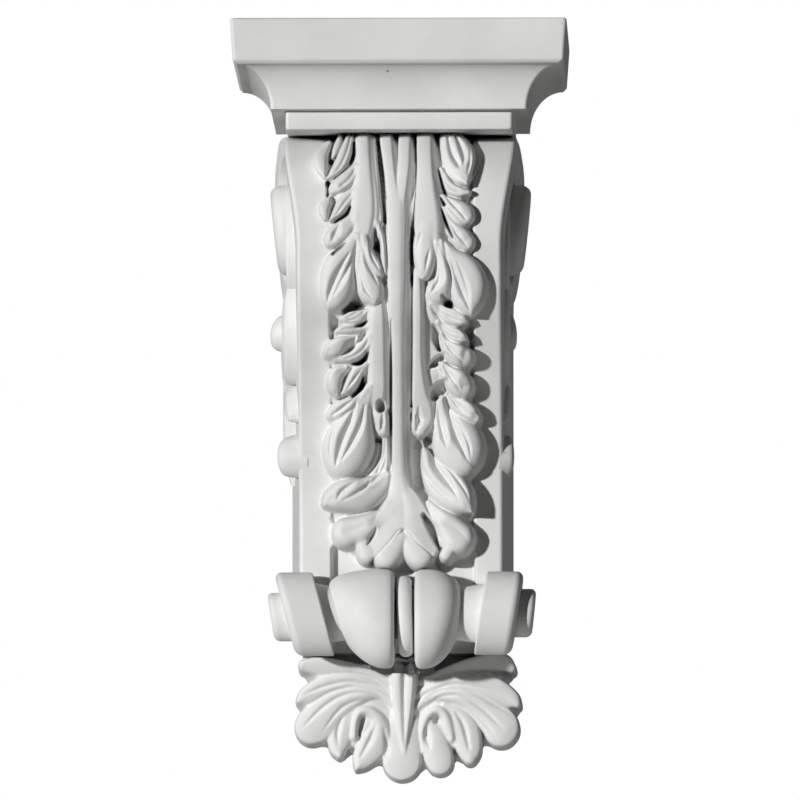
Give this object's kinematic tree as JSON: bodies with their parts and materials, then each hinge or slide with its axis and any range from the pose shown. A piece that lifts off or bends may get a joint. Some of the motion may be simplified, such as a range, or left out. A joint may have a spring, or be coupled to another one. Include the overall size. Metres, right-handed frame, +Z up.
{
  "type": "wall corbel",
  "caption": "Moulded wall corbel with a stepped cap over an S-scroll body, acanthus relief on its face, a scrolled roll across its foot and a shell of petals below.",
  "frame": {"origin": "centre of the flat back at half the corbel's height, on the wall plane", "axes": "+Z up to the cap, +Y into the wall, +X to the corbel's right as it is seen from in front"},
  "size_m": [0.2294, 0.197, 0.508],
  "materials": {
    "primed_white": "matt white primer"
  },
  "bodies": {
    "root": {"corbel": "primed_white"}
  },
  "joints": []
}
